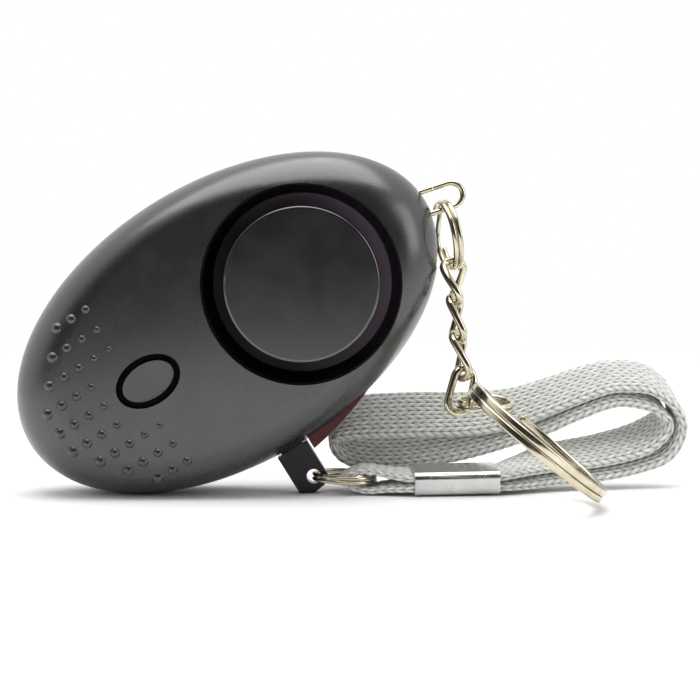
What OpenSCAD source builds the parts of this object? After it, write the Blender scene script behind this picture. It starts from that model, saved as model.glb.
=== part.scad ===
// Personal safety alarm: egg-shaped siren housing with a pull pin, torch button, key chain and wrist strap.
// Millimetres, +Z up, the housing stands on its edge as in the photograph and its front faces -Y.

/* [Housing] */
// Length of the housing along its long axis
body_l = 90; // [80:0.5:100]
// Width of the housing across its long axis
body_w = 54.4; // [48:0.2:62]
// Thickness of the housing from front to back
body_t = 25; // [21:0.5:30]
// Radius of the rounded rim
edge_r = 11.5; // [10:0.1:11.8]
// Wall thickness of both shells
wall = 1.8; // [1.2:0.1:2.4]
// How far the long axis is tilted up from the table
tilt = 31.9; // [20:0.1:40]
// Step between the two shells at the seam
seam_step = 0.12; // [0:0.02:0.3]

// Distance of the flat spot on the back from the middle plane
back_flat = 12.1; // [11.9:0.05:12.4]

/* [Siren] */
// Position of the siren along the long axis
siren_u = 16.7; // [14:0.1:19]
// Siren's middle across the long axis
siren_v = -0.8; // [-1:0.1:1]
// Diameter of the siren opening
siren_d = 38.2; // [34:0.2:40]
// Diameter of the siren's front disc
disc_d = 29.8; // [26:0.2:32]
// Height of the disc's face above the middle plane
disc_top = 12; // [11:0.1:13]
// Diameter of the sounder element
piezo_d = 27; // [20:0.5:27]

/* [Button] */
// Position of the button along the long axis
button_u = -17.6; // [-20:0.1:-15]
// Button's middle across the long axis
button_v = -1; // [-2:0.1:2]
// Length of the button's opening
button_l = 13.2; // [11:0.1:15]
// Width of the button's opening
button_w = 9.3; // [8:0.1:11]
// Width of the moat around the button's face
button_moat = 1.3; // [0.8:0.1:1.6]
// Height of the button's face above the middle plane
button_top = 12.5; // [12.2:0.1:13]
// Travel of the button
button_travel = 0.5; // [0.3:0.1:0.6]

/* [Grip dots] */
// Distance between two rows of dots
dot_row = 4.32; // [4:0.01:5]
// Distance between two dots in a row
dot_step = 3.36; // [3:0.01:4]
// Diameter of the outermost dots
dot_big = 2.2; // [1.5:0.1:2.5]
// Diameter of the innermost dots
dot_small = 1.2; // [0.8:0.1:1.6]
// How far the dots stand out
dot_rise = 0.7; // [0.4:0.05:0.9]

/* [Pull pin] */
// Position of the pull pin along the long axis
pin_u = -2.3; // [-5:0.1:0]
// Width of the pull pin's tab
tab_w = 6.6; // [5:0.1:9]
// Thickness of the pull pin's tab
tab_t = 3; // [2:0.1:4]
// Diameter of the hole in the tab
tab_hole_d = 2.8; // [2.6:0.1:3.4]
// Width of the pull pin's blade
blade_w = 4.6; // [3:0.1:5.5]

/* [Lenses] */
// First end of the strobe lens along the long axis
strobe_u0 = 1.6; // [1.4:0.1:3]
// Last end of the strobe lens along the long axis
strobe_u1 = 16.4; // [12:0.1:17]
// Width of the strobe lens across the rim
strobe_w = 6.4; // [4:0.1:8]
// Diameter of the torch lens in the rim
torch_d = 10.4; // [7:0.1:11]
// Width of the groove around the torch lens
torch_groove = 0.3; // [0.1:0.05:0.5]

/* [Cells] */
// Diameter of one AAA cell
cell_d = 10.5; // [10:0.1:10.5]
// Length of one AAA cell over its nub
cell_l = 44.5; // [43:0.1:44.5]
// Length of a cell spring as fitted
spring_l = 3.1; // [2.5:0.1:4]

/* [Key chain] */
// Wire diameter of the bail
bail_wire = 1.1; // [0.8:0.05:1.3]
// Distance between the bail's two legs
bail_w = 4.6; // [4:0.1:6]
// How far the bail reaches out of the rim
bail_out = 7.8; // [7:0.1:10]
// Wire diameter of the chain
link_wire = 1.5; // [1.3:0.05:1.6]
// Outer length of one chain link
link_l = 10.4; // [9:0.1:11]
// Outer width of one chain link
link_w = 5.8; // [5.4:0.1:6.5]
// Wire diameter of the small split rings
ring_wire = 1; // [0.8:0.05:1]
// Outer diameter of the upper split ring
ring_top_d = 14; // [13:0.1:15]
// Outer diameter of the lower split ring
ring_low_d = 11.3; // [11:0.1:12]
// Outer diameter of the key ring
key_ring_d = 32; // [30:0.5:34]
// Width of the key ring's flat wire, along the radius
key_wire_w = 2; // [1.6:0.1:2.6]
// Thickness of the key ring's flat wire
key_wire_t = 1.35; // [1:0.05:1.4]

/* [Wrist strap] */
// Width of the strap
strap_w = 10; // [8:0.1:10]
// Thickness of the strap
strap_t = 2.2; // [1.6:0.1:2.4]
// Length of the crimped ferrule
ferrule_l = 16.5; // [14:0.5:18]
// Wall thickness of the ferrule
ferrule_wall = 0.4; // [0.3:0.05:0.6]
// Outer diameter of the pull pin's split ring
pin_ring_d = 12.8; // [12.4:0.1:13.5]
// Wire diameter of the pull pin's split ring
pin_ring_wire = 0.8; // [0.6:0.05:0.9]

/* [Fits] */
// Clearance around pieces that move
run_gap = 0.2; // [0.1:0.05:0.3]
// Clearance around pieces that are only placed
set_gap = 0.2; // [0.1:0.05:0.3]

/* [Hidden] */
$fn = 64;
eps = 0.01;

// The part's origin: middle of its box on the table, without the strap
origin_x = 15.42;
origin_y = -11.82;
half_l = body_l / 2;
half_w = body_w / 2;
half_t = body_t / 2;
centre_z = sqrt(pow(half_l * sin(tilt), 2) + pow(half_w * cos(tilt), 2));

// Heights inside the housing, from the middle plane towards the front
cup_floor = 3.25;
cup_rim = 10.4;
cup_top = cup_floor + 1;
board_t = 1.2;
board_top = 3.8;
tact_h = 3;
plunger_top = 7.2;
button_seat = 9;
cell_w = -4.2;
tray_u0 = -20;
tray_u1 = tray_u0 + 0.8 + cell_l + spring_l;
tray_v = cell_d + 0.4;
tray_wall = 1;
plate_t = 0.4;
cell_u0 = tray_u0 + plate_t;
cell_u1 = tray_u1 - plate_t;
cell_v = cell_d / 2 + 0.15;
case_spots = [[-10, half_w - 10.2], [-10, 10.2 - half_w], [14.5 - half_l, 0]];
board_spots = [[18 - half_l, 9.5], [18 - half_l, -9.5]];
screw_seat = -6;
boss_d = 4.8;
door_screw_u = -22.3;
door_seat = 1.6;

// Small pieces of vector arithmetic
function unit(v) = v / norm(v);
function clamp01(x) = min(1, max(0, x));
function ease(x) = let (c = clamp01(x)) c * c * (3 - 2 * c);
function mix(a, b, t) = a + (b - a) * t;
function around(v, k, a) = v * cos(a) + cross(k, v) * sin(a) + k * (k * v) * (1 - cos(a));

// Places a piece drawn in the part's own frame
module row() translate([-origin_x, -origin_y, 0]) children();

// Places a piece drawn on the housing: x along the long axis, y across it, z towards the front
module on_body()
  row() translate([0, 0, centre_z]) rotate([0, -tilt, 0]) rotate([90, 0, 0]) children();

// The frame's point for a point on the housing
function body_pt(p) = [
  p[0] * cos(tilt) - p[1] * sin(tilt),
  -p[2],
  centre_z + p[0] * sin(tilt) + p[1] * cos(tilt)
];

// Half outline of an egg of length 2a, rim radius r and half thickness h
module egg_half(a, r, h) {
  dome = (pow(a - r, 2) + h * h - r * r) / (2 * (h - r));
  meet = (a - r) * dome / (dome - r);
  intersection() {
    translate([0, -2 * h]) square([2 * a, 4 * h]);
    union() {
      intersection() {
        translate([0, h - dome]) circle(r = dome, $fn = 1152);
        translate([0, dome - h]) circle(r = dome, $fn = 1152);
        translate([-1, -2 * h]) square([meet + 1, 4 * h]);
      }
      translate([a - r, 0]) circle(r = r, $fn = 96);
    }
  }
}

// Egg-shaped solid whose walls lie d inside the housing's outside
module egg(d) {
  a = half_l - d;
  scale([1, (half_w - d) / a, 1]) rotate_extrude($fn = 96) egg_half(a, edge_r - d, half_t - d);
}

// Height of the housing's front face at a point, d inside the outside
function face_h(u, v, d = 0) =
  let (a = half_l - d, h = half_t - d, r = edge_r - d,
       dome = (pow(a - r, 2) + h * h - r * r) / (2 * (h - r)),
       x = sqrt(u * u + pow(v * a / (half_w - d), 2)),
       meet = (a - r) * dome / (dome - r))
  x < meet ? h - dome + sqrt(dome * dome - x * x) : sqrt(max(0, r * r - pow(x - a + r, 2)));

module front_half() translate([-half_l, -half_w, 0]) cube([body_l, body_w, body_t]);
module rear_half() translate([-half_l, -half_w, -body_t]) cube([body_l, body_w, body_t]);

// Elliptic post of length l and width w from height z0 to z1
module oval(l, w, z0, z1)
  translate([0, 0, z0]) scale([1, w / l, 1]) cylinder(d = l, h = z1 - z0);

module box(x, y, z) translate([x[0], y[0], z[0]]) cube([x[1] - x[0], y[1] - y[0], z[1] - z[0]]);

// Tube swept along a list of points with given section frames
function ring_pts(p, g, n, sec) = [for (s = sec) p + g * s[0] + n * s[1]];
module sweep(rings, closed = false) {
  k = len(rings[0]);
  n = len(rings);
  pts = [for (r = rings) for (p = r) p];
  m = closed ? n : n - 1;
  sides = [for (i = [0:m - 1]) for (j = [0:k - 1])
    [i * k + j, i * k + (j + 1) % k, ((i + 1) % n) * k + (j + 1) % k, ((i + 1) % n) * k + j]];
  caps = closed ? [] : [[for (j = [k - 1:-1:0]) j], [for (j = [0:k - 1]) (n - 1) * k + j]];
  polyhedron(points = pts, faces = concat(sides, caps), convexity = 8);
}
function round_sec(d, k = 8) = [for (j = [0:k - 1]) [cos(90 + j * 360 / k), sin(90 + j * 360 / k)] * d / 2];

// Split ring of two turns: radius r at the wire's middle, turns pitch apart along the axis
module split_ring(r, pitch, sec, turn = 40, n = 66) {
  a0 = 32;
  a1 = 688;
  rings = [for (i = [0:n])
    let (t = mix(a0, a1, i / n),
         h = mix(-pitch / 2, pitch / 2, ease((t - 328) / 64)),
         e = [cos(t + turn), sin(t + turn), 0])
    ring_pts(e * r + [0, 0, h], e, [0, 0, 1], sec)];
  sweep(rings);
}

// Turns a piece drawn along Z so that Z follows k and X follows the part of x square to k
module aim(p, k, x) {
  z = unit(k);
  a = unit(x - z * (x * z));
  b = cross(z, a);
  multmatrix([
    [a[0], b[0], z[0], p[0]],
    [a[1], b[1], z[1], p[1]],
    [a[2], b[2], z[2], p[2]],
    [0, 0, 0, 1]
  ]) children();
}

// Positions along the key chain, in the part's frame before the origin shift
bail_lean = -13.9;
bail_dir = [cos(tilt + bail_lean), 0, sin(tilt + bail_lean)];
bail_side = [-bail_dir[2], 0, bail_dir[0]];
bail_v = -0.6;
bail_u = half_l * sqrt(1 - pow(bail_v / half_w, 2));
bail_mid = body_pt([bail_u, bail_v, 0]);
bail_in = 2;
ring_slot = 0.2;
ring_pitch = ring_wire + 0.06;
ring_stack = ring_pitch + ring_wire;
ring_top_r = (ring_top_d - ring_wire) / 2;
ring_low_r = (ring_low_d - ring_wire) / 2;
bail_hang = bail_mid + bail_dir * 2.7 - bail_side * bail_w / 2;
ring_top_down = [0.17, 0, -0.985];
ring_top_face = [0.955, 0.24, 0.165];
ring_top_mid = bail_hang + ring_top_down * (ring_top_r - bail_wire / 2 - ring_wire / 2 - 1.8 * ring_slot);
function chain_dir(right, front) = [sin(right) * cos(front), -sin(front), -cos(right) * cos(front)];
link_c = link_l - link_wire;
link_pitch = link_c - link_wire - ring_slot;
first_slot = 0.55;
last_slot = 0.4;
first_drop = link_c - link_wire / 2 - ring_wire / 2 - first_slot;
dir_1 = chain_dir(2, 15);
dir_2 = chain_dir(5, 15);
dir_3 = chain_dir(9, 15);
dir_4 = chain_dir(-14, 15);
hang_1 = ring_top_mid + ring_top_down * ring_top_r;
hang_2 = hang_1 + dir_1 * first_drop;
hang_3 = hang_2 + dir_2 * link_pitch;
hang_4 = hang_3 + dir_3 * link_pitch;
ring_low_face = unit([0.063, -0.1, 1]);
ring_low_left = hang_4 + dir_4 * (link_c - link_wire - last_slot - link_wire / 2 - ring_stack / 2 - 0.3);
ring_low_mid = ring_low_left + unit([1, -0.09, -0.06]) * ring_low_r;
key_along = [0.77, 0, -0.638];
key_face = unit([0.637, -0.01, 0.771]);
key_r = (key_ring_d - key_wire_w) / 2;
key_hang = 126;
key_off = [2.2, -0.3, 0];
key_mid = ring_low_mid + key_off - key_along * key_r * cos(key_hang) - [0, key_r * sin(key_hang), 0];
pin_hole = [-1.5, -34.1];
pin_ring_r = (pin_ring_d - pin_ring_wire) / 2;
pin_ring_pitch = pin_ring_wire + 0.05;
pin_ring_mid = body_pt([pin_hole[0], pin_hole[1], 0]) + unit([1, 0, -0.045]) * pin_ring_r;

// Route of the strap's middle line: x, y, z, lean of the band, thickness, width
strap_route = [
  [44, -0.8, 3.75, 4, 1.85, 10], [36, -1.5, 3.7, 4, 1.85, 10], [31.5, -1.2, 4.1, 2, 1.6, 9],
  [26.5, -0.8, 4.8, 0, 1.6, 8.4], [22.4, -0.6, 2.9, 0, 1.6, 8.4], [26.5, -0.8, 1, 0, 1.6, 8.4],
  [31.5, -1.2, 1.45, 2, 1.6, 9], [36, -1.5, 1.8, 4, 1.85, 10], [44, -0.8, 1.85, 4, 1.85, 10],
  [52, 0, 1.9, 5, 1.85, 10], [58, 2.8, 2.4, 12, 2.2, 10], [64, 5.2, 3.5, 22, 2.2, 10],
  [73, 7, 4.5, 28, 2.2, 10], [80, 8.4, 5.9, 30, 2.2, 10], [85.6, 8.9, 8.2, 31, 2.2, 10],
  [88.4, 9.4, 12.8, 22, 2.2, 10], [87.2, 9.4, 17.7, 31, 2.2, 10], [83, 9.4, 21.1, 31, 2.2, 10],
  [78, 9.4, 21.9, 31, 2.2, 10], [72.5, 9.4, 21.2, 31, 2.2, 10], [61, 8.7, 17.2, 38, 2.2, 10],
  [54.8, 8.4, 15.4, 46, 2.2, 10], [46.8, 8.1, 14.5, 54, 2.2, 10], [35, 8.1, 14.3, 57, 2.2, 10],
  [24, 8.1, 13.6, 50, 2.2, 10], [20.5, 9, 10.9, 28, 2.2, 10], [24, 9.4, 8.1, 46, 2.2, 10],
  [33, 9, 7.6, 50, 2.2, 10], [46.2, 8.8, 9.5, 46, 2.2, 10], [60.8, 8.8, 13.5, 34, 2.2, 10],
  [67, 8.8, 16.1, 32, 2.2, 10], [75.5, 9.4, 18.9, 31, 2.2, 10], [82.2, 9.4, 17.9, 31, 2.2, 10],
  [85.7, 9.4, 13.7, 20, 2.2, 10], [81.8, 8.6, 9.8, 30, 2.2, 10], [73, 7, 7.4, 28, 2.2, 10],
  [63.5, 5, 6.2, 22, 2.2, 10], [57.5, 2.6, 4.9, 11, 2.1, 10], [52, 0, 3.85, 5, 1.85, 10],
  [45, -0.7, 3.75, 4, 1.85, 10]
];
strap_steps = 4;
function spline(a, b, c, d, t) =
  0.5 * (2 * b + (c - a) * t + (2 * a - 5 * b + 4 * c - d) * t * t + (3 * b - a - 3 * c + d) * t * t * t);
function smooth_route(p, m) = let (n = len(p)) concat(
  [for (i = [0:n - 2]) for (k = [0:m - 1])
    spline(p[max(i - 1, 0)], p[i], p[i + 1], p[min(i + 2, n - 1)], k / m)],
  [p[n - 1]]);
function xyz(p) = [p[0], p[1], p[2]];

module front_shell() color([0.27, 0.275, 0.285]) on_body() {
  difference() {
    union() {
      intersection() {
        difference() {
          union() {
            egg(0);
            grip_dots();
          }
          egg(wall);
        }
        front_half();
      }
      intersection() {
        egg(wall / 2);
        union() {
          siren_well();
          for (s = case_spots) translate([s[0], s[1], 0]) cylinder(d = boss_d, h = half_t);
          for (s = board_spots) translate([s[0], s[1], board_top]) cylinder(d = 4, h = half_t);
        }
      }
    }
    translate([siren_u, siren_v, cup_top - 1]) cylinder(d = siren_d, h = half_t, $fn = 96);
    translate([button_u, button_v, 0]) oval(button_l, button_w, board_top, 2 * half_t);
    for (s = case_spots) translate([s[0], s[1], -1]) cylinder(d = 1.9, h = 7);
    for (s = board_spots) translate([s[0], s[1], board_top - 1]) cylinder(d = 1.4, h = 4.2);
    rim_cuts();
  }
}

// Sockets in the rim that both shells share
module rim_cuts() {
  bail_holes();
  torch_socket();
  strobe_window();
  pin_slot();
}

module siren_well() translate([siren_u, siren_v, cup_top]) cylinder(d = siren_d + 2.8, h = half_t, $fn = 96);

module grip_dots() {
  first = [for (x = [7.7, 7.7, 11.1, 14.6, 18.3]) x - half_l];
  number = [4, 4, 5, 4, 3];
  for (j = [-4:4]) for (i = [0:number[abs(j)] - 1]) {
    u = first[abs(j)] + i * dot_step - 0.11 * j;
    v = j * dot_row - 0.6;
    d = mix(dot_big, dot_small, i / 4);
    rise = dot_rise * d / dot_big;
    r = (d * d / 4 + rise * rise) / (2 * rise);
    n = unit([face_h(u - eps, v) - face_h(u + eps, v), face_h(u, v - eps) - face_h(u, v + eps), 2 * eps]);
    translate([u, v, face_h(u, v)] + n * (rise - r)) sphere(r = r, $fn = 24);
  }
}

module bail_holes()
  translate([bail_u, bail_v, 0]) rotate([0, 0, bail_lean])
    for (s = [-1, 1]) translate([-6, s * bail_w / 2, 0]) rotate([0, 90, 0]) cylinder(d = bail_wire + 0.9, h = 9);

torch_v = -7;
torch_sink = 1.58;
torch_pt = [half_l * sqrt(1 - pow(torch_v / half_w, 2)) - torch_sink, torch_v, 0];
torch_deep = 2.6;
torch_oval = 1.4;
lamp_d = 3;
torch_turn = atan2(torch_pt[1] / (half_w * half_w), torch_pt[0] / (half_l * half_l));
module at_torch() translate(torch_pt) rotate([0, 0, torch_turn]) rotate([0, 90, 0]) children();
module torch_socket() at_torch() {
  scale([torch_oval, 1, 1]) translate([0, 0, -4]) cylinder(d = torch_d, h = 8);
  scale([torch_oval, 1, 1]) difference() {
    translate([0, 0, -1.5]) cylinder(d = torch_d + 2 * torch_groove, h = 6);
    translate([0, 0, -2]) cylinder(d = torch_d - 1, h = 7);
  }
}

module strobe_window() box([strobe_u0, strobe_u1], [-half_w - 6, 7.2 - half_w], [-strobe_w / 2, strobe_w / 2]);

module pin_slot()
  box([pin_u - blade_w / 2 - run_gap, pin_u + blade_w / 2 + run_gap], [-half_w - 2, 8.2 - half_w],
      [-0.9 - run_gap, 1.1 + run_gap]);

module rear_shell() color([0.25, 0.255, 0.265]) on_body() {
  difference() {
    union() {
      intersection() {
        difference() {
          egg(seam_step);
          egg(wall);
          door_opening();
        }
        rear_half();
      }
      intersection() {
        egg(wall / 2);
        for (s = case_spots) translate([s[0], s[1], -half_t]) cylinder(d = 5.2, h = half_t);
      }
      intersection() {
        egg(wall);
        union() {
          tray();
          translate([door_screw_u, 0, -half_t]) cylinder(d = 4, h = half_t - 3);
          lamp_shelf();
        }
      }
    }
    for (s = case_spots) translate([s[0], s[1], -half_t]) {
      cylinder(d = 2.3, h = half_t + 1);
      cylinder(d = 4.1, h = half_t + screw_seat);
    }
    translate([door_screw_u, 0, -half_t]) cylinder(d = 1.7, h = half_t - 4);
    rim_cuts();
  }
}

door_u = [-24.5, tray_u1 + tray_wall / 2];
door_v = tray_v + tray_wall / 2;
module door_opening() box([door_u[0], door_u[1]], [-door_v, door_v], [-body_t, -2]);

module tray() difference() {
  box([tray_u0 - tray_wall, tray_u1 + tray_wall], [-tray_v - tray_wall, tray_v + tray_wall], [-half_t, 1.6]);
  box([tray_u0, tray_u1], [-tray_v, tray_v], [-body_t, 2]);
}

// Shelf that carries the strobe lamp
lamp_v = 9.7 - half_w;
module lamp_shelf() box([6.5, 11.5], [lamp_v, -tray_v], [-8.5, 1.2]);

module battery_door() color([0.25, 0.255, 0.265]) on_body() {
  difference() {
    intersection() {
      difference() {
        egg(seam_step);
        egg(wall);
      }
      box([door_u[0] + set_gap, door_u[1] - set_gap], [-door_v + set_gap, door_v - set_gap], [-body_t, -2]);
    }
    translate([door_screw_u, 0, -half_t]) {
      cylinder(d = 2, h = half_t);
      cylinder(d = 3.5, h = door_seat);
    }
    for (i = [-3:3]) translate([20 + i * 1.6, 0, -half_t - 0.2]) box([-0.4, 0.4], [-6, 6], [0, 1.6]);
    box([-half_l, half_l], [-half_w, half_w], [-body_t, -back_flat]);
  }
}

module door_screw() color([0.72, 0.72, 0.74]) on_body()
  translate([door_screw_u, 0, -half_t + door_seat]) screw(3.2, 1.7, 0.9, 4.4);

// Pan-head screw with a cross slot: head below z = 0, shank above it
module screw(head_d, shank_d, head_h, shank_l) difference() {
  union() {
    translate([0, 0, -head_h]) cylinder(d = head_d, h = head_h);
    cylinder(d = shank_d, h = shank_l);
  }
  for (a = [0, 90]) rotate([0, 0, a]) box([-head_d / 3, head_d / 3], [-0.2, 0.2], [-head_h - 1, -head_h + 0.5]);
}

module case_screws() color([0.72, 0.72, 0.74]) on_body()
  for (s = case_spots) translate([s[0], s[1], screw_seat]) screw(3.8, 1.9, 1.4, 11);

module siren_cup() color([0.07, 0.055, 0.06]) on_body() translate([siren_u, siren_v, 0]) {
  r = siren_d / 2;
  difference() {
    union() {
      rotate_extrude($fn = 96) difference() {
        polygon([[0, cup_floor], [14.6, cup_floor], [14.6, 2.05], [15.8, 2.05], [15.8, cup_floor],
          [r + 1.2, cup_floor], [r + 1.2, cup_top], [r - 0.1, cup_top], [r - 0.1, cup_rim], [r - 0.3, cup_rim],
          [r - 2, cup_top], [0, cup_top]]);
        translate([-1, cup_floor - 1]) square([12.5 + 1, 1.5]);
      }
      translate([0, 0, cup_floor + 0.5]) cylinder(d = 10, h = disc_top - 2.5 - cup_floor - 0.5);
    }
    translate([0, 0, cup_floor + 1.2]) cylinder(d = 4, h = half_t);
    for (i = [0:11]) rotate([0, 0, i * 30 + 15]) translate([(disc_d / 2 + r - 2) / 2 - 2.1, 0, 0]) {
      translate([0, 0, cup_floor - 1]) cylinder(d = 1.8, h = 4, $fn = 24);
    }
  }
}

module siren_disc() color([0.1, 0.1, 0.105]) on_body() translate([siren_u, siren_v, 0]) {
  r = disc_d / 2;
  lip = 0.6;
  rotate_extrude($fn = 96) union() {
    translate([0, disc_top - 2.5]) square([r, 2.5 - lip]);
    translate([0, disc_top - lip - eps]) square([r - lip, lip + eps]);
    intersection() {
      translate([r - lip, disc_top - lip]) circle(r = lip, $fn = 32);
      translate([0, disc_top - lip]) square([r, lip]);
    }
  }
  translate([0, 0, cup_floor + 1.6]) cylinder(d = 4, h = disc_top - 2.5 - cup_floor - 1.6);
}

module piezo_disc() color([0.8, 0.62, 0.3]) on_body() translate([siren_u, siren_v, 0]) {
  translate([0, 0, cup_floor - 0.3]) cylinder(d = piezo_d, h = 0.3);
  translate([0, 0, cup_floor - 0.5]) cylinder(d = 20, h = 0.2);
}

module piezo_clamp() color([0.12, 0.12, 0.13]) on_body() translate([siren_u, siren_v, 0])
  difference() {
    translate([0, 0, 2.05]) cylinder(d = 29.2, h = cup_floor - 0.3 - 2.05);
    translate([0, 0, 1]) cylinder(d = 23.2, h = 4);
  }

module torch_button() color([0.09, 0.09, 0.095]) on_body() translate([button_u, button_v, 0]) {
  fl = button_l - 2 * button_moat;
  fw = button_w - 2 * button_moat;
  edge = 0.5;
  oval(fl - 2 * edge, fw - 2 * edge, button_seat + 1, button_top);
  oval(fl, fw, button_seat + 1, button_top - edge);
  translate([0, 0, button_top - edge]) difference() {
    scale([1, fw / fl, 1]) rotate_extrude() translate([fl / 2 - edge, 0]) circle(r = edge, $fn = 32);
    translate([0, 0, -2]) cylinder(d = 2 * fl, h = 2);
  }
  oval(button_l - 2 * run_gap, button_w - 2 * run_gap, button_seat, button_seat + 1.9);
  oval(button_l + 1.8, button_w + 1.6, button_seat, button_seat + 0.8);
  translate([0, 0, plunger_top + 0.05]) cylinder(d = 3, h = button_seat - plunger_top);
}

module tact_switch() color([0.16, 0.16, 0.17]) on_body() translate([button_u, button_v, board_top])
  difference() {
    union() {
      box([-3, 3], [-3, 3], [0, tact_h]);
      for (x = [-1, 1]) for (y = [-1, 1]) box([x * 3.4 - 0.5, x * 3.4 + 0.5], [y * 2.2 - 0.35, y * 2.2 + 0.35], [0, 0.3]);
    }
    translate([0, 0, 1.6]) cylinder(d = 3.5, h = 4);
  }

module switch_plunger() color([0.85, 0.82, 0.7]) on_body() translate([button_u, button_v, plunger_top - 1.25])
  cylinder(d = 3.2, h = 1.25, $fn = 96);

module circuit_board() color([0.12, 0.32, 0.18]) on_body()
  difference() {
    intersection() {
      oval(80, 46, board_top - board_t, board_top);
      box([12 - half_l, -6], [13 - half_w, half_w - 13], [0, 10]);
    }
    for (s = board_spots) translate([s[0], s[1], 0]) cylinder(d = 1.7, h = 10);
    for (s = case_spots) translate([s[0], s[1], 0]) cylinder(d = boss_d + 0.6, h = 10);
  }

module board_screws() color([0.72, 0.72, 0.74]) on_body()
  for (s = board_spots) translate([s[0], s[1], board_top - board_t]) screw(3, 1.4, 1, 4);

module driver_chip() color([0.08, 0.08, 0.085]) on_body() translate([20.7 - half_l, 3.5, board_top]) {
  box([-2.5, 2.5], [-2, 2], [0.1, 1.6]);
  for (x = [-1.9, -0.63, 0.63, 1.9]) for (y = [-1, 1]) box([x - 0.2, x + 0.2], [y * 2.4 - 0.6, y * 2.4 + 0.6], [0, 0.25]);
}

module boost_core() color([0.2, 0.2, 0.21]) on_body() translate([-11, 17.7 - half_w, board_top]) {
  cylinder(d = 7, h = 0.8);
  cylinder(d = 3, h = 4);
  translate([0, 0, 3.2]) cylinder(d = 7, h = 0.8);
}

module boost_winding() color([0.75, 0.4, 0.18]) on_body() translate([-11, 17.7 - half_w, board_top])
  rotate_extrude() difference() {
    translate([1.5, 0.8]) square([1.7, 2.4]);
    for (i = [0:5]) translate([3.35, 0.8 + i * 0.48]) circle(r = 0.22, $fn = 16);
  }

module capacitor() color([0.15, 0.2, 0.45]) on_body() translate([-11, half_w - 17.7, board_top]) {
  cylinder(d = 5, h = 4.6);
  translate([0, 0, 4.6]) cylinder(d1 = 5, d2 = 4.6, h = 0.2);
}

module strobe_lens() color([0.3, 0.05, 0.07, 0.8]) on_body()
  intersection() {
    difference() {
      translate([-10, -3, 0]) egg(-0.3);
      egg(wall + 0.6);
    }
    box([strobe_u0, strobe_u1], [-half_w - 6, 11.2 - half_w], [-strobe_w / 2, strobe_w / 2]);
  }

module strobe_lamp() color([0.75, 0.1, 0.1]) on_body() translate([9, lamp_v, -1.2]) rotate([90, 0, 0]) {
  cylinder(d = 3.6, h = 0.8);
  cylinder(d = 3, h = 3.6);
  translate([0, 0, 3.6]) sphere(d = 3, $fn = 32);
}

module torch_lens() color([0.5, 0.51, 0.51]) on_body()
  difference() {
    intersection() {
      egg(seam_step + 0.06);
      at_torch() translate([0, 0, -torch_deep]) difference() {
        scale([torch_oval, 1, 1]) cylinder(d = torch_d, h = 8);
        translate([0, 0, -1]) cylinder(d = lamp_d, h = 2);
      }
    }
    bail_holes();
  }

module torch_lamp() color([0.9, 0.9, 0.85]) on_body() at_torch() translate([0, 0, 1 - torch_deep]) {
  translate([0, 0, -6]) cylinder(d = lamp_d + 0.6, h = 1);
  translate([0, 0, -6]) cylinder(d = lamp_d, h = 6);
}

module cell_a() color([0.2, 0.35, 0.25]) on_body() translate([cell_u1, cell_v, cell_w]) rotate([0, -90, 0]) cell();
module cell_b() color([0.2, 0.35, 0.25]) on_body() translate([cell_u0, -cell_v, cell_w]) rotate([0, 90, 0]) cell();
// AAA cell with its nub at z = 0
module cell() {
  cylinder(d = 3.8, h = 1);
  translate([0, 0, 0.8]) cylinder(d = cell_d - 1, h = 0.4);
  translate([0, 0, 1.1]) cylinder(d = cell_d, h = cell_l - 1.1);
}

module cell_springs() color([0.78, 0.77, 0.74]) on_body() {
  translate([cell_u0, cell_v, cell_w]) rotate([0, 90, 0]) cone_spring();
  translate([cell_u1, -cell_v, cell_w]) rotate([0, -90, 0]) cone_spring();
}
module cone_spring() {
  d = 0.6;
  n = 48;
  sec = round_sec(d, 6);
  rings = [for (i = [0:n])
    let (a = i / n * 1260, r = mix(3.3, 1.9, i / n), t = mix(d / 2, spring_l - d / 2, ease((a - 200) / 860)),
         e = [cos(a), sin(a), 0])
    ring_pts(e * r + [0, 0, t], e, [0, 0, 1], sec)];
  sweep(rings);
}

module cell_bridge() color([0.78, 0.77, 0.74]) on_body()
  box([cell_u1, tray_u1], [-9.6, 9.6], [cell_w - 3.6, cell_w + 4]);

module cell_plates() color([0.78, 0.77, 0.74]) on_body()
  for (s = [-1, 1]) box([tray_u0, cell_u0], [s * 5.2 - 4.2, s * 5.2 + 4.2], [cell_w - 3.6, cell_w + 4.6]);

module contact_block() color([0.85, 0.83, 0.78]) on_body()
  difference() {
    box([-5, 0.4], [-tray_v - tray_wall - 2.6, -tray_v - tray_wall], [-3.2, 3]);
    box([pin_u - 1.7, pin_u + 1.7], [-tray_v - tray_wall - 3, -tray_v - tray_wall - 1.2], [0.9, 4]);
  }

contact_v = -tray_v - tray_wall - 2.6;
module fixed_contact() color([0.8, 0.66, 0.35]) on_body()
  box([pin_u - 1.5, pin_u + 1.5], [3.2 - half_w, contact_v], [-1.25, -0.98]);

leaf_l = 7.6;
pin_gap = 0.15;
pin_top = -half_w - pin_gap;
blade_l = contact_v - pin_gap - pin_top;
leaf_w = 1.6;
leaf_t = 0.24;
leaf_gap = 0.145;
function wedge_at(v) = 1.1 - 1.4 * (v - pin_top) / blade_l;
leaf_rest = atan((leaf_w - leaf_t / 2 - leaf_gap - wedge_at(contact_v + 0.6 - leaf_l)) / leaf_l);
leaf_pivot = [pin_u, contact_v + 0.6, leaf_w];
module moving_contact() color([0.8, 0.66, 0.35]) on_body() translate(leaf_pivot) {
  rotate([0, 90, 0]) cylinder(d = 1, h = 3, center = true);
  rotate([leaf_rest, 0, 0]) box([-1.5, 1.5], [-leaf_l, 0], [-leaf_t / 2, leaf_t / 2]);
}

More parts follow.
